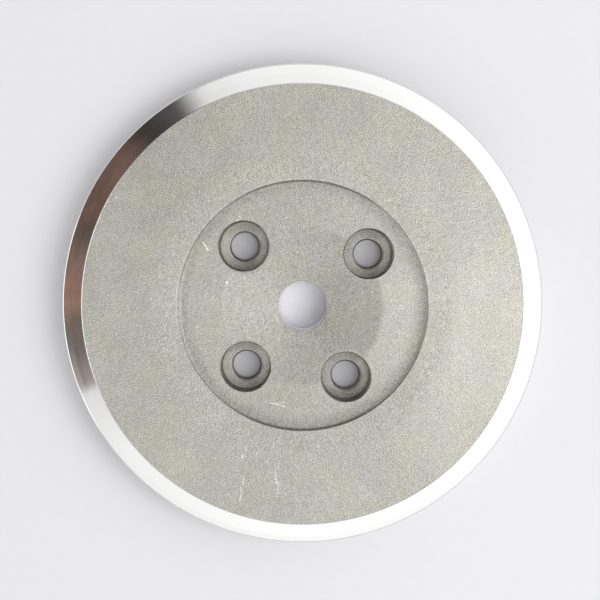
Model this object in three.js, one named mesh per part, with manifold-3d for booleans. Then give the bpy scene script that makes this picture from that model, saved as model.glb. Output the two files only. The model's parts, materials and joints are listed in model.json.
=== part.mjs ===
// Small engine flywheel: a flat disc, 111 mm across, bolted through four counterbored holes to a crank
// flange. It is built up from three turned pieces on one axis: a hub plate that takes the screws, a web disc
// around it, and a rim ring with a polished conical edge. Each piece seats on a ledge of the next.
// Millimetres, +Z up. The origin is on the axis, in the plane of the rear faces, and the finished face is up.

import * as THREE from "three";
import { mergeVertices } from "three/addons/utils/BufferGeometryUtils.js";
import Module from "manifold-3d";

const wasm = await Module();
wasm.setup();

// Driving dimensions of the visible face
const OUTER_RADIUS = 55.3;
const THICKNESS = 9; // from the rear faces to the flat front face of the web
const BEVEL_WIDTH = 5; // radial width of the rim's polished conical edge
const BEVEL_DROP = 2.35;
const FOOT_ROUNDING = 0.8; // radius between the conical edge and the outer wall
const APRON_RADIUS = 34.6; // inside this circle the web's face slopes down towards the recess
const APRON_DROP = 0.4;
const RECESS_RADIUS = 28.7; // wall of the recess, and seam between hub plate and web
const RECESS_DEPTH = 1.3; // from the foot of the apron to the flat recess floor
const COVE_WIDTH = 4.1; // the recess floor curves up over this width at its wall
const COVE_RISE = 0.33;
const DISH_RADIUS = 18.4; // inside this circle the recess floor dips towards the bore
const DISH_DROP = 1.6;

// Bore and screw holes
const BORE_RADIUS = 5.6;
const BOLT_CIRCLE_RADIUS = 19.25;
const BOLT_ANGLES = [38.3, 134.7, 226.9, 301.3]; // degrees, unevenly spaced, so that it fits one way round
const SCREW_HOLE_RADIUS = 3.2; // close clearance for an M6 screw
const SCREW_HOLE_CHAMFER = 0.3; // where the through hole opens on its ledge
const COUNTERBORE_RADIUS = 5.7; // clears an M6 cap screw's 10 mm head
const COUNTERBORE_DEPTH = 5; // below the flat recess floor

// Seats between the pieces, and the rear
const SPIGOT_RADIUS = 25.5; // hub plate below the web's inner ledge
const FLANGE_RADIUS = 46.5; // rim ring's inner edge, under the web's outer ledge
const LEDGE_Z = 3;
const WEB_BACK_Z = 1; // the web's back is relieved, so that only hub and rim touch a flat surface
const FIT_GAP = 0.05; // room left at each seat
const EDGE_BREAK = 0.2;
const REAR_CHAMFER = 0.6;
const RIM_LAND = 0.3; // narrow flat on the rim ring between the seam and the cone

// Heights and a radius that follow from them
const APRON_FOOT_Z = THICKNESS - APRON_DROP;
const HUB_FACE_Z = APRON_FOOT_Z - RECESS_DEPTH;
const BORE_MOUTH_Z = HUB_FACE_Z - DISH_DROP;
const COUNTERBORE_FLOOR_Z = HUB_FACE_Z - COUNTERBORE_DEPTH;
const BEVEL_FOOT_Z = THICKNESS - BEVEL_DROP;
const FACE_RADIUS = OUTER_RADIUS - BEVEL_WIDTH;

const TURNED_SEGMENTS = 96;
const HOLE_SEGMENTS = 36;
const COVE_STEPS = 4;
const ROUNDING_STEPS = 3;
const CUT_MARGIN = 1; // how far a cutting cylinder runs past the face that it opens

const BLASTED_STEEL = { color: 0xb9b6aa, roughness: 0.62, metalness: 0.85 };
const POLISHED_STEEL = { color: 0xe6e5e2, roughness: 0.08, metalness: 1 };

// A closed turned solid around +Z, from its section as [radius, height] pairs that run outwards along the
// bottom and back inwards along the top.
function turned(section) {
  const points = [...section, section[0]].map(([radius, height]) => new THREE.Vector2(radius, height));
  return new THREE.LatheGeometry(points, TURNED_SEGMENTS).rotateX(Math.PI / 2);
}

// A cylinder along +Z between two heights, centred at (x, y), or a cone if its top radius differs.
function post(radius, bottom, top, x, y, topRadius = radius) {
  return new THREE.CylinderGeometry(topRadius, radius, top - bottom, HOLE_SEGMENTS)
    .rotateX(Math.PI / 2)
    .translate(x, y, (bottom + top) / 2);
}

function solidFrom(geometry) {
  const bare = geometry.clone();
  bare.deleteAttribute("normal");
  bare.deleteAttribute("uv");
  const merged = mergeVertices(bare, 1e-4);
  return new wasm.Manifold(
    new wasm.Mesh({
      numProp: 3,
      vertProperties: new Float32Array(merged.attributes.position.array),
      triVerts: new Uint32Array(merged.index.array),
    }),
  );
}

function geometryFrom(solid) {
  const { vertProperties, triVerts } = solid.getMesh();
  const geometry = new THREE.BufferGeometry();
  geometry.setAttribute("position", new THREE.BufferAttribute(vertProperties, 3));
  geometry.setIndex(new THREE.BufferAttribute(triVerts, 1));
  geometry.computeVertexNormals();
  return geometry;
}

function piece(name, geometry, finish) {
  const mesh = new THREE.Mesh(geometry, new THREE.MeshStandardMaterial(finish));
  mesh.name = name;
  return mesh;
}

// A screw hole with its counterbore and the chamfer between them, as one cutting solid.
function screwHole(degrees) {
  const angle = THREE.MathUtils.degToRad(degrees);
  const x = BOLT_CIRCLE_RADIUS * Math.cos(angle);
  const y = BOLT_CIRCLE_RADIUS * Math.sin(angle);
  const ledge = COUNTERBORE_FLOOR_Z;
  const chamfer = SCREW_HOLE_CHAMFER;
  const chamferTop = SCREW_HOLE_RADIUS + 2 * chamfer;
  const cutters = [
    post(SCREW_HOLE_RADIUS, -CUT_MARGIN, THICKNESS, x, y),
    post(SCREW_HOLE_RADIUS, ledge - chamfer, ledge + chamfer, x, y, chamferTop),
    post(COUNTERBORE_RADIUS, ledge, THICKNESS, x, y),
  ];
  return cutters.map(solidFrom).reduce((hole, cutter) => hole.add(cutter));
}

// The recessed centre: a flanged plate with a flat floor, a dish around the bore and the four screw holes.
function hubPlate() {
  const outerRadius = RECESS_RADIUS - FIT_GAP;
  const section = [
    [BORE_RADIUS + REAR_CHAMFER, 0],
    [SPIGOT_RADIUS - REAR_CHAMFER, 0],
    [SPIGOT_RADIUS, REAR_CHAMFER],
    [SPIGOT_RADIUS, LEDGE_Z],
    [outerRadius, LEDGE_Z],
  ];
  for (let step = COVE_STEPS; step >= 0; step--) {
    const climb = step / COVE_STEPS;
    section.push([outerRadius - COVE_WIDTH * (1 - climb), HUB_FACE_Z + COVE_RISE * climb ** 2]);
  }
  section.push(
    [DISH_RADIUS, HUB_FACE_Z],
    [BORE_RADIUS + EDGE_BREAK, BORE_MOUTH_Z],
    [BORE_RADIUS, BORE_MOUTH_Z - EDGE_BREAK],
    [BORE_RADIUS, REAR_CHAMFER],
  );
  const blank = solidFrom(turned(section));
  const drilled = BOLT_ANGLES.map(screwHole).reduce((plate, hole) => plate.subtract(hole), blank);
  return piece("hub_plate", geometryFrom(drilled), BLASTED_STEEL);
}

// The blasted face around the recess: flat out to the rim, with an apron that slopes down to the recess wall.
function webDisc() {
  const section = [
    [SPIGOT_RADIUS + FIT_GAP, WEB_BACK_Z],
    [FLANGE_RADIUS - FIT_GAP, WEB_BACK_Z],
    [FLANGE_RADIUS - FIT_GAP, LEDGE_Z + FIT_GAP],
    [FACE_RADIUS - FIT_GAP, LEDGE_Z + FIT_GAP],
    [FACE_RADIUS - FIT_GAP, THICKNESS],
    [APRON_RADIUS, THICKNESS],
    [RECESS_RADIUS + EDGE_BREAK, APRON_FOOT_Z],
    [RECESS_RADIUS, APRON_FOOT_Z - EDGE_BREAK],
    [RECESS_RADIUS, LEDGE_Z - FIT_GAP],
    [SPIGOT_RADIUS + FIT_GAP, LEDGE_Z - FIT_GAP],
  ];
  return piece("web_disc", turned(section), BLASTED_STEEL);
}

// The polished ring: a conical edge over a short outer wall, with an inner flange under the web.
function rimRing() {
  const section = [
    [FLANGE_RADIUS + EDGE_BREAK, 0],
    [OUTER_RADIUS - REAR_CHAMFER, 0],
    [OUTER_RADIUS, REAR_CHAMFER],
  ];
  const turn = Math.atan2(BEVEL_WIDTH - RIM_LAND, BEVEL_DROP); // from the wall round to the cone
  const wallTop = BEVEL_FOOT_Z - FOOT_ROUNDING * Math.tan(turn / 2);
  for (let step = 0; step <= ROUNDING_STEPS; step++) {
    const angle = (turn * step) / ROUNDING_STEPS;
    section.push([
      OUTER_RADIUS - FOOT_ROUNDING * (1 - Math.cos(angle)),
      wallTop + FOOT_ROUNDING * Math.sin(angle),
    ]);
  }
  section.push(
    [FACE_RADIUS + RIM_LAND, THICKNESS],
    [FACE_RADIUS, THICKNESS],
    [FACE_RADIUS, LEDGE_Z],
    [FLANGE_RADIUS, LEDGE_Z],
    [FLANGE_RADIUS, EDGE_BREAK],
  );
  return piece("rim_ring", turned(section), POLISHED_STEEL);
}

const flywheel = new THREE.Group();
flywheel.add(hubPlate(), webDisc(), rimRing());

export default flywheel;
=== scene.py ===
"""Looks for a small engine flywheel: three turned steel pieces on one axis, seen from above on a pale floor.

Each piece is revolved here from a finely rounded section. Sections are in millimetres, as radius and height,
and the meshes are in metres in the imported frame. Heights, outside radii and hole places are read from it.
"""

import json
import math

import bpy
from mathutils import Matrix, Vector
from mathutils.geometry import delaunay_2d_cdt


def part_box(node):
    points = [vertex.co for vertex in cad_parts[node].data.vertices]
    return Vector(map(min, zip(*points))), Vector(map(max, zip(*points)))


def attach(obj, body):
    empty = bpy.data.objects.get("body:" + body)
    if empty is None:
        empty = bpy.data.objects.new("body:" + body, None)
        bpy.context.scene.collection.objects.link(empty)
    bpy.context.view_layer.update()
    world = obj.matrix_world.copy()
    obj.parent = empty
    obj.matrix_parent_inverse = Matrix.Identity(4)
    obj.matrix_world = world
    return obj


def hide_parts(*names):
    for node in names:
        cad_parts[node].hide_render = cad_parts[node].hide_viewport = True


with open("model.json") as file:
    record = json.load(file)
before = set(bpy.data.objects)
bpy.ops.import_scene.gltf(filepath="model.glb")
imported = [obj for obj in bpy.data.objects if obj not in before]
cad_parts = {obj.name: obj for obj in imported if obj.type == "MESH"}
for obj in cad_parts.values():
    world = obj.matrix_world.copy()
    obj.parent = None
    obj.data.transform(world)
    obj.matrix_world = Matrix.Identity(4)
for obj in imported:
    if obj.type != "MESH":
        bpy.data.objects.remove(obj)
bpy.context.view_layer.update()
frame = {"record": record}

MM = 0.001
SPIN_STEPS = 384  # steps round the axis of a turned surface
HOLE_STEPS = 96  # steps round a screw hole
ARC_STEPS = 5  # steps in a rounded corner
COVE_STEPS = 8
FILL_SPACING = 0.7  # between the points that fill the recess floor, in mm
PICK_SLACK = 0.01  # how far past an edge the middle of a kept triangle may lie, in mm


def box_mm(node):
    low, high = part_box(node)
    return low / MM, high / MM


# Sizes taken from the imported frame
HUB_HIGH = box_mm("hub_plate")[1]
WEB_LOW, WEB_HIGH = box_mm("web_disc")
RIM_HIGH = box_mm("rim_ring")[1]
OPENINGS = frame["record"]["physics"]["openings"]
HOLES = [
    (Vector(o["box_m"][0]) + Vector(o["box_m"][1])).xy / 2 / MM
    for o in OPENINGS
    if o["name"].startswith("screw_hole")
]

TOP_Z = WEB_HIGH.z
WEB_BACK_Z = WEB_LOW.z
OUTER_RADIUS = RIM_HIGH.x
WEB_OUTER_RADIUS = WEB_HIGH.x
HUB_OUTER_RADIUS = HUB_HIGH.x

# Sizes that the frame's boxes don't hold, as in the CAD part
FIT_GAP = 0.05
APRON_RADIUS = 34.6
APRON_DROP = 0.4
COVE_WIDTH = 4.1
COVE_RISE = 0.33
DISH_RADIUS = 18.4
DISH_DROP = 1.6
BORE_RADIUS = 5.6
BORE_EDGE = 0.2
SCREW_HOLE_RADIUS = 3.2
SCREW_HOLE_CHAMFER = 0.3
COUNTERBORE_RADIUS = 5.7
COUNTERBORE_DEPTH = 5.0
BEVEL_DROP = 2.35
SPIGOT_RADIUS = 25.5
FLANGE_RADIUS = 46.5
LEDGE_Z = 3.0
REAR_CHAMFER = 0.6

# Heights and radii that follow from them
HUB_FACE_Z = HUB_HIGH.z - COVE_RISE
BORE_MOUTH_Z = HUB_FACE_Z - DISH_DROP
COUNTERBORE_FLOOR_Z = HUB_FACE_Z - COUNTERBORE_DEPTH
APRON_FOOT_Z = TOP_Z - APRON_DROP
BEVEL_FOOT_Z = TOP_Z - BEVEL_DROP
SEAM = 0.01  # the two seams on the face are closed up to this
FACE_RADIUS = WEB_OUTER_RADIUS + SEAM
RECESS_RADIUS = HUB_OUTER_RADIUS + SEAM

# Roundings of edges and of shallow changes of slope, and the rim's small features
EDGE = 0.12
SEAM_EDGE = 0.05
HOLE_EDGE = 0.15
REAR_EDGE = 0.2
RIM_LAND = 0.2  # narrow flat between the seam and the cone, 0.1 narrower than in the CAD part
RIM_EDGE = 0.12
FOOT_EDGE = 0.8  # between the cone and the outer wall
CHAMFER_EDGE = 0.06
DISH_BLEND = 5.0
APRON_BLEND = 50.0
BEVEL_CROWN = 0.08  # how far the polished cone bulges at its middle
BEVEL_CROWN_RADIUS = 28.0


# Sections and meshes


def right_of(direction):
    """The unit direction to the right of another one, in a section."""
    return Vector((direction.y, -direction.x)).normalized()


def rounded(corners, closed=True):
    """A section's points with a normal each, from corners given as (radius, height, rounding).

    The corners keep the material on their left: outwards along the bottom and back along the top.
    An open section's two ends are plain points, and need no rounding.
    """
    count = len(corners)
    places = [Vector(corner[:2]) for corner in corners]
    points = []
    for i, here in enumerate(places):
        if not closed and i == 0:
            points.append((here, right_of(places[1] - here)))
            continue
        if not closed and i == count - 1:
            points.append((here, right_of(here - places[i - 1])))
            continue
        before = here - places[i - 1]
        after = places[(i + 1) % count] - here
        first = right_of(before)
        last = right_of(after)
        turn = math.atan2(first.x * last.y - first.y * last.x, first.dot(last))
        rounding = corners[i][2]
        start = here - before.normalized() * rounding * abs(math.tan(turn / 2))
        centre = start - first * math.copysign(rounding, turn)
        for k in range(ARC_STEPS + 1):
            angle = turn * k / ARC_STEPS
            c, s = math.cos(angle), math.sin(angle)
            normal = Vector((first.x * c - first.y * s, first.x * s + first.y * c))
            points.append((centre + normal * math.copysign(rounding, turn), normal))
    return points


class Shell:
    """Vertices with their normals, and faces, gathered for one piece."""

    def __init__(self):
        self.vertices = []
        self.normals = []
        self.faces = []

    def add(self, place, normal):
        self.vertices.append(Vector(place))
        self.normals.append(Vector(normal))
        return len(self.vertices) - 1

    def ring(self, point, normal, steps, centre=(0, 0), lift=None):
        """One circle about a vertical axis, from a section's point. lift(x, y) adds to its height."""
        made = []
        for k in range(steps):
            angle = 2 * math.pi * k / steps
            c, s = math.cos(angle), math.sin(angle)
            x = centre[0] + point.x * c
            y = centre[1] + point.x * s
            z = point.y + (lift(x, y) if lift else 0)
            made.append(self.add((x, y, z), (normal.x * c, normal.x * s, normal.y)))
        return made

    def rings(self, section, steps, centre=(0, 0), lift=None, lifted=0):
        """Circles for a whole section, joined in order. Only the first few are lifted."""
        made = []
        for i, (point, normal) in enumerate(section):
            made.append(self.ring(point, normal, steps, centre, lift if i < lifted else None))
        for lower, upper in zip(made, made[1:]):
            self.bridge(lower, upper)
        return made

    def bridge(self, lower, upper):
        """Quads between two circles of the same step count."""
        steps = len(lower)
        for k in range(steps):
            n = (k + 1) % steps
            self.faces.append((lower[k], lower[n], upper[n], upper[k]))

    def fill(self, loops, loose, keep, upward):
        """Triangles over the area between closed loops, through the loose points. keep(x, y) picks them."""
        numbers = [v for loop in loops for v in loop] + loose
        flat = [self.vertices[v].xy for v in numbers]
        edges = []
        start = 0
        for loop in loops:
            size = len(loop)
            edges += [(start + k, start + (k + 1) % size) for k in range(size)]
            start += size
        _, _, triangles, sources, _, _ = delaunay_2d_cdt(flat, edges, [], 0, 1e-6)
        for triangle in triangles:
            corners = [numbers[sources[v][0]] for v in triangle]
            middle = sum((self.vertices[v] for v in corners), Vector()) / 3
            if keep(middle.x, middle.y):
                self.faces.append(tuple(corners if upward else reversed(corners)))

    def object(self, name, material):
        mesh = bpy.data.meshes.new(name)
        mesh.from_pydata([v * MM for v in self.vertices], [], self.faces)
        mesh.polygons.foreach_set("use_smooth", [True] * len(mesh.polygons))
        mesh.normals_split_custom_set_from_vertices(self.normals)
        mesh.materials.append(material)
        made = bpy.data.objects.new(name, mesh)
        bpy.context.scene.collection.objects.link(made)
        return made


def turned(name, corners, material):
    """A piece revolved round the axis from a closed section."""
    shell = Shell()
    circles = shell.rings(rounded(corners), SPIN_STEPS)
    shell.bridge(circles[-1], circles[0])
    return shell.object(name, material)


# The three pieces


def hub_plate(material):
    """The recessed centre: a flat floor with a dish, the bore and four counterbored screw holes."""
    shell = Shell()
    cove_start = HUB_OUTER_RADIUS - COVE_WIDTH
    cove = []
    for step in range(COVE_STEPS, 0, -1):
        climb = step / COVE_STEPS
        point = Vector((cove_start + COVE_WIDTH * climb, HUB_FACE_Z + COVE_RISE * climb**2))
        cove.append((point, Vector((-2 * COVE_RISE * climb / COVE_WIDTH, 1)).normalized()))
    face = cove + rounded(
        [
            (cove_start, HUB_FACE_Z),
            (DISH_RADIUS, HUB_FACE_Z, DISH_BLEND),
            (BORE_RADIUS + BORE_EDGE, BORE_MOUTH_Z),
        ],
        closed=False,
    )

    def on_face(radius):
        """The face's point and normal at a radius, by straight steps between its section's points."""
        for (a, na), (b, nb) in zip(face, face[1:]):
            if b.x <= radius <= a.x:
                t = (a.x - radius) / (a.x - b.x)
                return a.lerp(b, t), na.lerp(nb, t).normalized()
        return face[-1]

    outside = rounded(
        [
            (SPIGOT_RADIUS - REAR_CHAMFER - REAR_EDGE, 0),
            (SPIGOT_RADIUS - REAR_CHAMFER, 0, REAR_EDGE),
            (SPIGOT_RADIUS, REAR_CHAMFER, REAR_EDGE),
            (SPIGOT_RADIUS, LEDGE_Z, EDGE),
            (HUB_OUTER_RADIUS, LEDGE_Z, EDGE),
            (HUB_OUTER_RADIUS, HUB_FACE_Z + COVE_RISE, SEAM_EDGE),
            on_face(HUB_OUTER_RADIUS - 4 * EDGE)[0],
        ],
        closed=False,
    )
    bore = rounded(
        [
            on_face(BORE_RADIUS + 3 * BORE_EDGE)[0],
            (BORE_RADIUS + BORE_EDGE, BORE_MOUTH_Z, CHAMFER_EDGE),
            (BORE_RADIUS, BORE_MOUTH_Z - BORE_EDGE, CHAMFER_EDGE),
            (BORE_RADIUS, REAR_CHAMFER, REAR_EDGE),
            (BORE_RADIUS + REAR_CHAMFER, 0, REAR_EDGE),
            (BORE_RADIUS + REAR_CHAMFER + REAR_EDGE, 0),
        ],
        closed=False,
    )
    outside_rings = shell.rings(outside, SPIN_STEPS)
    bore_rings = shell.rings(bore, SPIN_STEPS)

    mouth_z = on_face(HOLES[0].length)[0].y
    hole = rounded(
        [
            (COUNTERBORE_RADIUS + 2 * HOLE_EDGE, mouth_z),
            (COUNTERBORE_RADIUS, mouth_z, HOLE_EDGE),
            (COUNTERBORE_RADIUS, COUNTERBORE_FLOOR_Z, HOLE_EDGE),
            (SCREW_HOLE_RADIUS + SCREW_HOLE_CHAMFER, COUNTERBORE_FLOOR_Z, CHAMFER_EDGE),
            (SCREW_HOLE_RADIUS, COUNTERBORE_FLOOR_Z - SCREW_HOLE_CHAMFER, CHAMFER_EDGE),
            (SCREW_HOLE_RADIUS, 0, HOLE_EDGE),
            (SCREW_HOLE_RADIUS + 2 * HOLE_EDGE, 0),
        ],
        closed=False,
    )
    mouth_rings = 1 + ARC_STEPS + 1

    def lift(x, y):
        return on_face(math.hypot(x, y))[0].y - mouth_z

    hole_rings = [shell.rings(hole, HOLE_STEPS, h, lift, mouth_rings) for h in HOLES]

    def beside_holes(x, y, radius):
        return all(math.hypot(x - h[0], y - h[1]) > radius for h in HOLES)

    def outside_bore(x, y, end):
        return math.hypot(x, y) > end[0].x - PICK_SLACK

    def loose_points(outer, inner, spacing, hole_radius, surface):
        """Points between two radii and clear of the holes, so that the fill's triangles stay even."""
        found = []
        circles = round((outer - inner) / spacing)
        for i in range(1, circles):
            radius = inner + (outer - inner) * i / circles
            steps = round(2 * math.pi * radius / spacing)
            point, normal = surface(radius)
            for k in range(steps):
                angle = 2 * math.pi * (k + 0.5 * (i % 2)) / steps
                c, s = math.cos(angle), math.sin(angle)
                if beside_holes(radius * c, radius * s, hole_radius + 0.5 * spacing):
                    place = (radius * c, radius * s, point.y)
                    found.append(shell.add(place, (normal.x * c, normal.x * s, normal.y)))
        return found

    mouth_radius = COUNTERBORE_RADIUS + 2 * HOLE_EDGE
    loops = [outside_rings[-1], bore_rings[0]] + [rings[0] for rings in hole_rings]
    loose = loose_points(outside[-1][0].x, bore[0][0].x, FILL_SPACING, mouth_radius, on_face)
    shell.fill(
        loops,
        loose,
        lambda x, y: outside_bore(x, y, bore[0]) and beside_holes(x, y, mouth_radius - PICK_SLACK),
        upward=True,
    )
    rear_radius = SCREW_HOLE_RADIUS + 2 * HOLE_EDGE
    loops = [outside_rings[0], bore_rings[-1]] + [rings[-1] for rings in hole_rings]
    shell.fill(
        loops,
        [],
        lambda x, y: outside_bore(x, y, bore[-1]) and beside_holes(x, y, rear_radius - PICK_SLACK),
        upward=False,
    )
    return shell.object("hub_plate_visual", material)


def web_disc(material):
    """The blasted ring: flat out to the rim, with an apron that slopes down to the recess wall."""
    corners = [
        (SPIGOT_RADIUS + FIT_GAP, WEB_BACK_Z, REAR_EDGE),
        (FLANGE_RADIUS - FIT_GAP, WEB_BACK_Z, REAR_EDGE),
        (FLANGE_RADIUS - FIT_GAP, LEDGE_Z + FIT_GAP, EDGE),
        (WEB_OUTER_RADIUS, LEDGE_Z + FIT_GAP, EDGE),
        (WEB_OUTER_RADIUS, TOP_Z, SEAM_EDGE),
        (APRON_RADIUS, TOP_Z, APRON_BLEND),
        (RECESS_RADIUS, APRON_FOOT_Z, EDGE),
        (RECESS_RADIUS, LEDGE_Z - FIT_GAP, EDGE),
        (SPIGOT_RADIUS + FIT_GAP, LEDGE_Z - FIT_GAP, EDGE),
    ]
    return turned("web_disc_visual", corners, material)


def rim_ring(material):
    """The polished ring: a slightly crowned conical edge over a short outer wall."""
    cone_top = Vector((FACE_RADIUS + RIM_LAND, TOP_Z))
    cone_foot = Vector((OUTER_RADIUS, BEVEL_FOOT_Z))
    middle = (cone_top + cone_foot) / 2 + right_of(cone_top - cone_foot) * BEVEL_CROWN
    corners = [
        (FLANGE_RADIUS, 0, REAR_EDGE),
        (OUTER_RADIUS - REAR_CHAMFER, 0, REAR_EDGE),
        (OUTER_RADIUS, REAR_CHAMFER, REAR_EDGE),
        (*cone_foot, FOOT_EDGE),
        (*middle, BEVEL_CROWN_RADIUS),
        (*cone_top, RIM_EDGE),
        (FACE_RADIUS, TOP_Z, SEAM_EDGE),
        (FACE_RADIUS, LEDGE_Z, EDGE),
        (FLANGE_RADIUS, LEDGE_Z, EDGE),
    ]
    return turned("rim_ring_visual", corners, material)


# Materials

# Bright scratches on the face: x and y of the middle in mm, direction in degrees, length in mm, strength
SCRATCHES = [
    (-22.4, 13.9, -52, 2.0, 1.3),
    (-22.0, 13.2, -66, 1.5, 1.0),
    (-21.3, 12.9, -40, 0.9, 0.6),
    (-19.2, 12.4, -62, 0.9, 0.6),
    (-15.0, 19.6, 35, 0.9, 0.8),
    (-14.4, 20.2, -60, 0.7, 0.6),
    (-3.8, 20.1, 30, 0.8, 0.6),
    (-17.4, 5.4, -75, 1.0, 0.9),
    (-22.2, 2.6, 35, 1.6, 0.35),
    (-24.2, -4.8, -50, 0.9, 0.7),
    (-6.6, -22.6, -10, 2.2, 0.8),
    (-5.0, -23.0, -20, 2.6, 0.7),
    (-4.4, -22.4, -6, 2.0, 0.35),
    (-13.9, -34.6, 80, 1.4, 0.7),
    (-13.2, -32.6, -75, 1.4, 0.6),
    (-10.6, -34.0, 55, 1.0, 0.7),
    (-8.4, -35.6, -20, 0.8, 0.5),
    (-13.7, -40.2, 87, 2.6, 0.6),
    (-14.2, -42.4, -84, 2.4, 0.7),
    (-14.4, -44.2, 75, 1.6, 0.8),
    (-6.2, -39.6, -82, 3.2, 0.7),
    (-5.7, -41.6, -89, 3.0, 0.7),
    (-5.6, -36.8, 84, 2.2, 0.35),
    (22.8, -0.2, -40, 1.1, 0.7),
    (15.8, 3.2, 15, 0.8, 0.5),
    (-42.4, 24.6, 60, 1.0, 0.5),
    (-31.0, 25.0, 60, 1.0, 0.3),
]


class Nodes:
    """Short calls for building a node tree."""

    def __init__(self, tree):
        self.tree = tree
        self.tree.nodes.clear()

    def new(self, kind, inputs=None, **settings):
        node = self.tree.nodes.new(kind)
        for key, value in settings.items():
            setattr(node, key, value)
        for key, value in (inputs or {}).items():
            self.put(value, node.inputs[key])
        return node

    def put(self, value, socket):
        """Links a socket, or sets a plain value."""
        if isinstance(value, bpy.types.NodeSocket):
            self.tree.links.new(value, socket)
        else:
            socket.default_value = value

    def math(self, operation, a, b=0.0, c=0.0, clamp=False):
        node = self.new("ShaderNodeMath", {0: a, 1: b, 2: c}, operation=operation, use_clamp=clamp)
        return node.outputs[0]

    def minus(self, a, b):
        return self.math("SUBTRACT", a, b)

    def times(self, product, *values):
        for value in values:
            product = self.math("MULTIPLY", product, value)
        return product

    def linear(self, value, slope, start=1.0):
        """start + slope * value."""
        return self.math("MULTIPLY_ADD", value, slope, start)

    def smooth(self, value, low, high, start=0.0, end=1.0):
        """start below low and end above high, with a smooth step between."""
        inputs = {"Value": value, "From Min": low, "From Max": high, "To Min": start, "To Max": end}
        return self.new("ShaderNodeMapRange", inputs, interpolation_type="SMOOTHSTEP").outputs[0]

    def fade(self, value, core, edge, start=1.0, end=0.0):
        """start where value is within core of zero and end beyond edge, with a smooth step between."""
        return self.smooth(self.math("ABSOLUTE", value), core, edge, start, end)

    def blend(self, factor, a, b, mode="MIX"):
        node = self.new("ShaderNodeMix", data_type="RGBA", blend_type=mode)
        self.put(factor, node.inputs[0])
        self.put(a, node.inputs[6])
        self.put(b, node.inputs[7])
        return node.outputs[2]

    def tinted(self, colour, level):
        """A colour multiplied by a number."""
        return self.blend(1.0, colour, level, "MULTIPLY")

    def noise(self, place, scale, detail=2.0, roughness=0.5):
        """Noise over space, or along one number if place is a number's socket."""
        single = place.type == "VALUE"
        inputs = {"Scale": scale, "Detail": detail, "Roughness": roughness}
        inputs["W" if single else "Vector"] = place
        dimensions = "1D" if single else "3D"
        return self.new("ShaderNodeTexNoise", inputs, noise_dimensions=dimensions).outputs[0]

    def ramp(self, value, stops):
        node = self.new("ShaderNodeValToRGB", {0: value})
        elements = node.color_ramp.elements
        while len(elements) < len(stops):
            elements.new(0.5)
        for element, (position, colour) in zip(elements, stops):
            element.position = position
            element.color = colour
        return node.outputs[0]

    def bump(self, height, distance):
        inputs = {"Height": height, "Distance": distance, "Strength": 1.0}
        return self.new("ShaderNodeBump", inputs).outputs[0]

    def split(self, vector):
        """The sockets of a vector's three components."""
        return self.new("ShaderNodeSeparateXYZ", {0: vector}).outputs

    def rotated(self, vector, degrees):
        """A vector turned about +Z."""
        inputs = {"Vector": vector, "Axis": (0, 0, 1), "Angle": math.radians(degrees)}
        return self.new("ShaderNodeVectorRotate", inputs, rotation_type="AXIS_ANGLE").outputs[0]

    def offset(self, place, x, y):
        """Where place lies from a vertical axis. The axis is in millimetres, and the rest in metres."""
        inputs = {0: place, 1: (x * MM, y * MM, 0)}
        return self.new("ShaderNodeVectorMath", inputs, operation="SUBTRACT").outputs[0]

    def axis_distance(self, place, x, y):
        """The distance of place from a vertical axis, in the same units."""
        inputs = {0: place, 1: (1, 1, 0), 2: (-x * MM, -y * MM, 0)}
        flat = self.new("ShaderNodeVectorMath", inputs, operation="MULTIPLY_ADD").outputs[0]
        return self.new("ShaderNodeVectorMath", {0: flat}, operation="LENGTH").outputs["Value"]


def greys(stops):
    """A ramp's stops from pairs of position and level."""
    return [(position, (level, level, level, 1)) for position, level in stops]


def new_material(name):
    """A material, its node calls, and the place on the part in metres."""
    material = bpy.data.materials.new(name)
    material.use_nodes = True
    nodes = Nodes(material.node_tree)
    return material, nodes, nodes.new("ShaderNodeTexCoord").outputs["Object"]


def finish_surface(nodes, inputs):
    """Ends a material with a principled shader that has these inputs."""
    shader = nodes.new("ShaderNodeBsdfPrincipled", inputs)
    nodes.new("ShaderNodeOutputMaterial", {"Surface": shader.outputs[0]})


# The blasted steel's brightness is a product of levels, most of them near 1. Besides grain and stains they
# hold painted light and shade at the dish, the recess corner and wall, the lip and the screw holes. side and
# rise are the cosine and sine of the angle round the axis, and radius is the distance from it.


def zone_tone_and_painted_shade(nodes, side, radius):
    """The broad zones: darker outside the recess at the far left, in the recess, and more in the dish, with
    painted shade across it.
    """
    outside = nodes.smooth(side, -1, -0.3, 0.945, 1)
    # painted shade across the dish: lighter at the left, darker at the right
    dish = nodes.smooth(side, -0.8, 0.8, 0.895, 0.83)
    recess = nodes.smooth(radius, (DISH_RADIUS - 1.0) * MM, (DISH_RADIUS + 0.6) * MM, dish, 0.965)
    return nodes.smooth(radius, (RECESS_RADIUS - 0.05) * MM, RECESS_RADIUS * MM, recess, outside)


def corner_painted_shade(nodes, side, radius):
    """Painted shade in the recess floor's corner at its wall, deeper at the left, and lifted along a strip
    next to the wall at the left.
    """
    # painted shade in the corner, deeper at the left than at the right
    painted_shade_depth = nodes.smooth(side, -1, 0, 0.74, 0.86)
    corner = nodes.smooth(radius, (RECESS_RADIUS - 3.6) * MM, (RECESS_RADIUS - 0.8) * MM, 1, painted_shade_depth)
    # the strip lifts the painted shade again next to the wall at the left
    strip = nodes.smooth(radius, (RECESS_RADIUS - 1.6) * MM, (RECESS_RADIUS - 0.6) * MM)
    strip = nodes.times(strip, nodes.smooth(side, -0.95, -0.5, 0.88, 0))
    beyond = nodes.smooth(radius, (RECESS_RADIUS - 0.05) * MM, RECESS_RADIUS * MM)
    return nodes.math("MAXIMUM", corner, nodes.math("MAXIMUM", beyond, strip))


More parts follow.
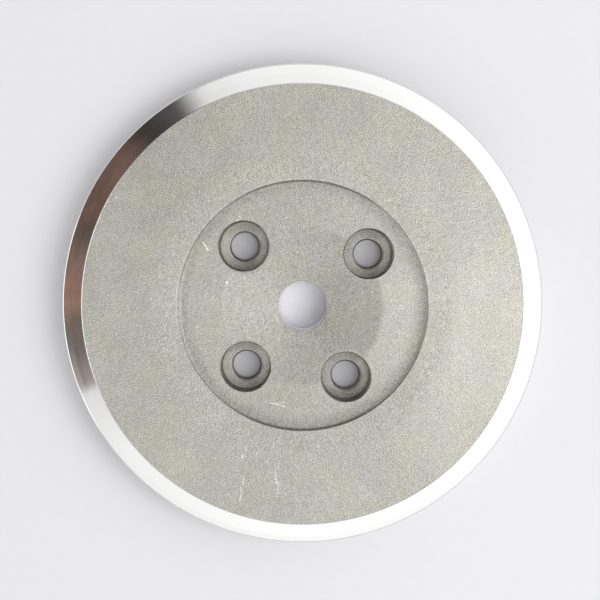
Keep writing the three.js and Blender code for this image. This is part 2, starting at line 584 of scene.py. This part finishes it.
def wall_painted_light_and_shade(nodes, side, rise, radius):
    """The recess wall: a painted highlight at the right, and painted shade at the top, the bottom and the
    upper left.
    """
    # painted highlight on the wall at the right, painted shade at its top, bottom and upper left
    painted_light_gain = nodes.smooth(side, 0.4, 0.9, 0, 0.28)
    ends = nodes.fade(rise, 0.7, 1.0, 0, 0.44)
    upper_left = nodes.times(nodes.smooth(rise, 0.1, 0.4), nodes.smooth(side, -0.8, -0.5, 0.2, 0))
    gain = nodes.minus(nodes.minus(painted_light_gain, ends), upper_left)
    wall = nodes.fade(nodes.minus(radius, (RECESS_RADIUS - 0.15) * MM), 0.12 * MM, 0.34 * MM)
    return nodes.linear(wall, gain)


def lip_painted_highlight(nodes, side, rise, radius):
    """The edge above the recess wall: a painted highlight along its upper part, strongest at the left."""
    # painted highlight along the lip's upper part
    lip = nodes.fade(nodes.minus(radius, (RECESS_RADIUS + 0.3) * MM), 0.1 * MM, 0.26 * MM)
    upper = nodes.smooth(rise, -0.35, 0.05)
    return nodes.linear(nodes.times(lip, upper), nodes.smooth(side, -0.9, 0.2, 0.13, 0.05))


def hole_painted_light_and_shade(nodes, offset, distance):
    """One screw hole, with painted light and shade. Its mouth has an edge of painted shade, which is fainter
    at the right.

    Its ledge has a painted highlight at the right, painted shade at the top and the bottom, and a painted
    shadow round the through hole, in a band that is widest at the lower right.
    """
    # painted shade along the mouth's edge
    edge = nodes.smooth(offset[0], 2.5 * MM, 5.4 * MM, 0.33, 0.8)
    mouth = nodes.fade(nodes.minus(distance, (COUNTERBORE_RADIUS + 0.02) * MM), 0.08 * MM, 0.24 * MM, edge, 1)
    inside = nodes.smooth(distance, (COUNTERBORE_RADIUS - 0.5) * MM, (COUNTERBORE_RADIUS - 0.3) * MM, 1, 0)
    # painted highlight on the ledge at the right, painted shade at its top and bottom
    painted_light_gain = nodes.smooth(offset[0], 1.5 * MM, 4 * MM, 0.1, 0.42)
    painted_shade_depth = nodes.fade(offset[1], 2 * MM, 4 * MM, 0, 0.18)
    ledge = nodes.linear(inside, nodes.minus(painted_light_gain, painted_shade_depth))
    # painted shadow round the through hole, widest at the lower right
    band = nodes.smooth(nodes.minus(offset[0], offset[1]), -3.6 * MM, 4.4 * MM, 0.16 * MM, 0.95 * MM)
    share = nodes.math("DIVIDE", nodes.minus(distance, (SCREW_HOLE_RADIUS + 0.12) * MM), band)
    return nodes.times(mouth, ledge, nodes.smooth(share, 0.1, 1.0, 0.42, 1))


def scratch(nodes, place, x, y, degrees, length):
    """One on a thin straight line on the face, centred at (x, y) mm, and nothing elsewhere."""
    along = nodes.split(nodes.rotated(nodes.offset(place, x, y), -degrees))
    ends = nodes.fade(along[0], 0.3 * length * MM, 0.55 * length * MM)
    return nodes.times(ends, nodes.fade(along[1], 0.05 * MM, 0.22 * MM))


def blasted_steel(name):
    """Bead-blasted steel: a coarse glittering grain, faint stains of other greys, and a satin sheen.

    The bore is bare and bright. Scratches are broken into flecks by the grain, and stop at the screw holes.
    Painted light and shade lie over the dish, the recess corner and wall, the lip and the screw holes.
    """
    material, nodes, place = new_material(name)
    grain = nodes.noise(place, 3000.0, roughness=0.7)
    pits = nodes.noise(place, 800.0)
    stain = nodes.noise(place, 130.0, detail=3.0, roughness=0.6)
    cloud = nodes.noise(place, 42.0, detail=3.0, roughness=0.6)
    elsewhere = nodes.new("ShaderNodeVectorMath", {0: place, 1: (3, 1, 7)}).outputs[0]
    tint = nodes.noise(elsewhere, 170.0, detail=3.0)
    colour = nodes.ramp(tint, [(0.38, (0.543, 0.540, 0.473, 1)), (0.62, (0.540, 0.525, 0.496, 1))])

    x, y, _ = nodes.split(place)
    radius = nodes.axis_distance(place, 0, 0)
    side = nodes.math("DIVIDE", x, radius)
    rise = nodes.math("DIVIDE", y, radius)
    level = nodes.times(
        nodes.linear(grain, 1.5, 0.25),
        nodes.linear(pits, 0.3, 0.85),
        nodes.linear(stain, 0.26, 0.87),
        nodes.linear(cloud, 0.24, 0.89),
        # zone tone with painted shade, then painted light and shade at the corner, the wall and the lip
        zone_tone_and_painted_shade(nodes, side, radius),
        corner_painted_shade(nodes, side, radius),
        wall_painted_light_and_shade(nodes, side, rise, radius),
        lip_painted_highlight(nodes, side, rise, radius),
    )
    nearest = 1.0  # distance to the nearest screw hole's axis
    # painted light and shade at each screw hole
    for centre in HOLES:
        distance = nodes.axis_distance(place, *centre)
        level = nodes.times(level, hole_painted_light_and_shade(nodes, nodes.split(nodes.offset(place, *centre)), distance))
        nearest = nodes.math("MINIMUM", nearest, distance)

    marks = 0.0
    for *line, strength in SCRATCHES:
        marks = nodes.linear(scratch(nodes, place, *line), strength, marks)
    beside = nodes.smooth(nearest, (COUNTERBORE_RADIUS + 0.1) * MM, (COUNTERBORE_RADIUS + 0.25) * MM)
    flecks = nodes.smooth(grain, 0.4, 0.56, 0.2, 1.15)
    level = nodes.math("ADD", level, nodes.times(marks, beside, flecks))

    bore = nodes.smooth(radius, (BORE_RADIUS + 0.02) * MM, (BORE_RADIUS + 0.1) * MM, 1, 0)
    inputs = {
        "Base Color": nodes.blend(bore, nodes.tinted(colour, level), (0.80, 0.80, 0.84, 1)),
        "Metallic": 1.0,
        "Roughness": nodes.linear(stain, 0.10, 0.45),
        "Normal": nodes.bump(nodes.linear(pits, 0.6, grain), 0.1 * MM),
        "Anisotropic": 0.6,
        "Anisotropic Rotation": 0.25,
        "Tangent": nodes.new("ShaderNodeTangent", direction_type="RADIAL", axis="Z").outputs[0],
    }
    finish_surface(nodes, inputs)
    return material


def polished_steel(name):
    """Mirror-polished steel with faint turning lines. The outer wall and the rear are duller and coarser."""
    material, nodes, place = new_material(name)
    height = nodes.split(place)[2]
    along = nodes.math("ADD", nodes.axis_distance(place, 0, 0), height)  # grows along every turned surface
    lines = nodes.noise(along, 9000.0)
    coarse = nodes.noise(along, 2600.0, detail=3.0)
    smear = nodes.noise(place, 60.0, detail=3.0)
    stain = nodes.noise(place, 220.0, detail=4.0, roughness=0.6)
    polish = nodes.smooth(height, (BEVEL_FOOT_Z - 1.2) * MM, (BEVEL_FOOT_Z - 0.6) * MM)
    dull = nodes.minus(1.0, polish)
    wall = nodes.ramp(coarse, [(0.35, (0.60, 0.60, 0.59, 1)), (0.65, (0.74, 0.74, 0.73, 1))])
    wall = nodes.tinted(wall, nodes.linear(stain, 0.3, 0.83))
    relief = nodes.math("ADD", lines, nodes.times(coarse, dull, 4.0))
    inputs = {
        "Base Color": nodes.blend(polish, wall, (0.86, 0.86, 0.845, 1)),
        "Metallic": 1.0,
        "Roughness": nodes.linear(dull, nodes.linear(stain, 0.2, 0.2), nodes.linear(smear, 0.06, 0.05)),
        "Normal": nodes.bump(relief, 0.001 * MM),
    }
    finish_surface(nodes, inputs)
    return material


def floor_card():
    """Pale lavender-grey card."""
    material, nodes, place = new_material("floor_card")
    fibre = nodes.noise(place, 400.0, detail=3.0)
    colour = nodes.blend(fibre, (0.80, 0.80, 0.835, 1), (0.82, 0.82, 0.855, 1))
    finish_surface(nodes, {"Base Color": colour, "Roughness": 0.9, "Specular IOR Level": 0.2})
    return material


# Studio

DEGREES = 180 / math.pi

# The white sky's level from the horizon to straight up
SKY = [(0.0, 0.5), (0.12, 0.62), (0.22, 1.2), (0.3, 1.22), (0.6, 0.92), (1.0, 0.76)]

# A dark hanging at the left, which the polished cone mirrors: the middle of its azimuth and half its width,
# in degrees, and its colours from one side to the other
HANGING_AZIMUTH = 162.6
HANGING_HALF_WIDTH = 42.0
HANGING = [
    (0.0, (0.09, 0.075, 0.07, 1)),
    (0.05, (0.075, 0.06, 0.065, 1)),
    (0.10, (0.05, 0.046, 0.045, 1)),
    (0.17, (0.055, 0.043, 0.04, 1)),
    (0.27, (0.125, 0.08, 0.065, 1)),
    (0.45, (0.13, 0.08, 0.065, 1)),
    (0.54, (0.10, 0.078, 0.063, 1)),
    (0.62, (0.19, 0.128, 0.105, 1)),
    (0.68, (0.24, 0.14, 0.115, 1)),
    (0.74, (0.225, 0.14, 0.105, 1)),
    (0.79, (0.15, 0.115, 0.09, 1)),
    (0.86, (0.13, 0.115, 0.105, 1)),
    (0.92, (0.20, 0.165, 0.155, 1)),
    (1.0, (0.32, 0.28, 0.26, 1)),
]

# How much the hanging dims the sky beside it, from its middle round to the far side
DUSK = [(0.22, 0.66), (0.33, 0.84), (0.42, 0.88), (0.62, 1.0)]


def hanging_colour(nodes, way, share, height):
    """The hanging's colours, in soft folds, and darker high up."""
    folds = nodes.linear(nodes.noise(way, 9.0, detail=3.0, roughness=0.6), 1.2, 0.4)
    shade = nodes.times(nodes.smooth(height, 34, 50, 1.25, 0.5), folds)
    return nodes.tinted(nodes.ramp(share, HANGING), shade)


def hanging_mask(nodes, azimuth, share, height):
    """One on the hanging and nothing beside it. At its middle the foot steps up and the top steps down."""
    first = nodes.smooth(azimuth, -HANGING_HALF_WIDTH - 6, -HANGING_HALF_WIDTH + 4.5)
    last = nodes.smooth(azimuth, HANGING_HALF_WIDTH - 1.5, HANGING_HALF_WIDTH + 1.5, 1, 0)
    step = nodes.smooth(share, 0.44, 0.52, 3, 15.5)
    foot = nodes.math("ADD", step, nodes.smooth(share, 0.70, 0.92, 0, 4.5))
    top = nodes.smooth(share, 0.45, 0.53, 84, 46)
    over = nodes.smooth(nodes.minus(height, foot), -2, 2)
    under = nodes.smooth(nodes.minus(top, height), -5, 5)
    return nodes.times(first, last, over, under)


def sky_colour(nodes, azimuth, height):
    """The white sky: dimmer near the hanging, a window high up, and lamps under and over half the hanging."""
    bright = nodes.ramp(nodes.math("MULTIPLY", height, 1 / 90, clamp=True), greys(SKY))
    dusk = nodes.ramp(nodes.math("DIVIDE", nodes.math("ABSOLUTE", azimuth), 180), greys(DUSK))
    window = nodes.fade(nodes.minus(azimuth, 107), 30, 65, 0.3, 0)
    window = nodes.times(window, nodes.smooth(height, 34, 44), nodes.smooth(height, 58, 70, 1, 0))
    lamps = nodes.math("ADD", nodes.smooth(height, 12, 20, 3.6, 0), nodes.smooth(height, 64, 70, 0, 0.8))
    lamps = nodes.linear(lamps, nodes.fade(nodes.minus(azimuth, 22), 24, 34))
    return nodes.tinted(nodes.tinted(bright, nodes.times(dusk, nodes.linear(window, 1.0))), lamps)


def studio_sky():
    """A white studio all round, with a dark hanging at the left. Azimuths and heights are in degrees."""
    world = bpy.data.worlds.new("studio")
    bpy.context.scene.world = world
    world.use_nodes = True
    nodes = Nodes(world.node_tree)
    way = nodes.new("ShaderNodeTexCoord").outputs["Generated"]
    height = nodes.math("MULTIPLY", nodes.math("ARCSINE", nodes.split(way)[2]), DEGREES)
    # azimuth counts from the middle of the hanging, so that its jump lies on the far side
    x, y, _ = nodes.split(nodes.rotated(way, -HANGING_AZIMUTH))
    azimuth = nodes.math("MULTIPLY", nodes.math("ARCTAN2", y, x), DEGREES)
    share = nodes.math("MULTIPLY_ADD", azimuth, 1 / (2 * HANGING_HALF_WIDTH), 0.5, clamp=True)
    mask = hanging_mask(nodes, azimuth, share, height)
    hanging = hanging_colour(nodes, way, share, height)
    colour = nodes.blend(mask, sky_colour(nodes, azimuth, height), hanging)
    background = nodes.new("ShaderNodeBackground", {"Color": colour, "Strength": 1.0})
    nodes.new("ShaderNodeOutputWorld", {"Surface": background.outputs[0]})


def key_light():
    """A soft box high up at the right, aimed at the part."""
    data = bpy.data.lights.new("key", "AREA")
    data.shape = "SQUARE"
    data.size = 0.45
    data.energy = 1.7
    data.color = (1.0, 0.985, 0.965)
    light = bpy.data.objects.new("key", data)
    light.location = (0.47, -0.09, 0.54)
    light.rotation_euler = (-light.location).to_track_quat("-Z", "Y").to_euler()
    bpy.context.scene.collection.objects.link(light)


def floor():
    """A wide sheet of card at the level of the rear faces."""
    mesh = bpy.data.meshes.new("floor")
    half = 3.0
    corners = [(-half, -half, 0), (half, -half, 0), (half, half, 0), (-half, half, 0)]
    mesh.from_pydata(corners, [], [(0, 1, 2, 3)])
    mesh.materials.append(floor_card())
    made = bpy.data.objects.new("floor", mesh)
    bpy.context.scene.collection.objects.link(made)


def camera():
    """Nearly straight down, a little above and to the left of the axis."""
    data = bpy.data.cameras.new("camera")
    data.lens = 62
    data.sensor_width = 36
    data.clip_start = 0.01
    made = bpy.data.objects.new("camera", data)
    made.location = Vector((-2.7, 13.5, TOP_Z + 235.0)) * MM
    made.rotation_euler = (math.radians(-2.94), math.radians(-0.49), 0)
    bpy.context.scene.collection.objects.link(made)
    bpy.context.scene.camera = made


def add(piece, node):
    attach(piece, "root")
    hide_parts(node)


camera()
floor()
studio_sky()
key_light()
bpy.context.scene.view_settings.view_transform = "Standard"

add(hub_plate(blasted_steel("hub_steel")), "hub_plate")
add(web_disc(blasted_steel("web_steel")), "web_disc")
add(rim_ring(polished_steel("rim_steel")), "rim_ring")
